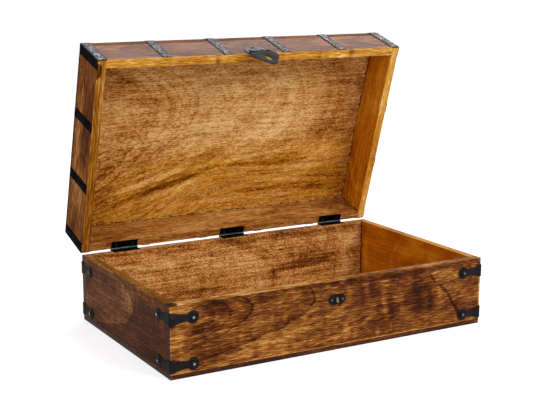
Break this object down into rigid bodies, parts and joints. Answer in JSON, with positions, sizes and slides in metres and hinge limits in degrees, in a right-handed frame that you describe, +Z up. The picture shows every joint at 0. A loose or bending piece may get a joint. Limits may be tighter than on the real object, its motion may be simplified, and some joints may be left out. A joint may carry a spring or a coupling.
{
  "type": "chest",
  "caption": "Low rectangular boarded chest with a deep hinged lid standing open, flat straps over the lid, corner brackets on the box, and a hasp and staple.",
  "frame": {"origin": "middle of the underside of the bottom board", "axes": "+Z up, +X to the right and -Y towards whoever stands in front of the chest; the lid stands open"},
  "size_m": [0.4574, 0.3413, 0.3678],
  "materials": {
    "box_wood": "waxed reddish brown hardwood, golden on the inside",
    "bottom_wood": "waxed golden hardwood",
    "lid_wood": "waxed brown hardwood",
    "lid_panel_wood": "waxed golden hardwood",
    "strap_iron": "black hammered iron, satin",
    "bracket_iron": "black iron, satin",
    "nail_iron": "black, glossy",
    "hinge_iron": "black, glossy",
    "hasp_iron": "black, satin"
  },
  "bodies": {
    "base": {"base_front": "box_wood", "base_back": "box_wood", "base_left": "box_wood", "base_right": "box_wood", "base_bottom": "bottom_wood", "bracket_front_right_low": "bracket_iron", "bracket_front_right_high": "bracket_iron", "bracket_front_left_low": "bracket_iron", "bracket_front_left_high": "bracket_iron", "bracket_back_right_low": "bracket_iron", "bracket_back_right_high": "bracket_iron", "bracket_back_left_low": "bracket_iron", "bracket_back_left_high": "bracket_iron", "bracket_nails": "nail_iron", "staple": "hasp_iron", "staple_nails": "nail_iron", "hinge_left_base_leaf": "hinge_iron", "hinge_middle_base_leaf": "hinge_iron", "hinge_right_base_leaf": "hinge_iron", "hinge_left_pin": "hinge_iron", "hinge_middle_pin": "hinge_iron", "hinge_right_pin": "hinge_iron", "hinge_screws_base": "nail_iron"},
    "lid": {"lid_front": "lid_wood", "lid_back": "lid_wood", "lid_left": "lid_wood", "lid_right": "lid_wood", "lid_top": "lid_panel_wood", "strap_cross_1": "strap_iron", "strap_cross_2": "strap_iron", "strap_cross_3": "strap_iron", "strap_cross_4": "strap_iron", "strap_cross_5": "strap_iron", "strap_cross_6": "strap_iron", "strap_long_1": "strap_iron", "strap_long_2": "strap_iron", "strap_long_3": "strap_iron", "strap_long_4": "strap_iron", "hinge_left_lid_leaf": "hinge_iron", "hinge_middle_lid_leaf": "hinge_iron", "hinge_right_lid_leaf": "hinge_iron", "hinge_screws_lid": "nail_iron", "hasp_plate": "hasp_iron", "hasp_nails": "nail_iron", "hasp_pin": "hasp_iron"},
    "hasp_leaf": {"hasp_leaf": "hasp_iron"}
  },
  "joints": [
    {"name": "lid_hinge", "type": "hinge", "parent": "base", "child": "lid", "pos_m": [0, 0.1364, 0.0896], "axis": [-1, 0, 0], "range_deg": [-73.2, 103]},
    {"name": "hasp_hinge", "type": "hinge", "parent": "lid", "child": "hasp_leaf", "pos_m": [0, 0.05451, 0.35129], "axis": [-1, 0, 0], "range_deg": [0, 160]}
  ]
}
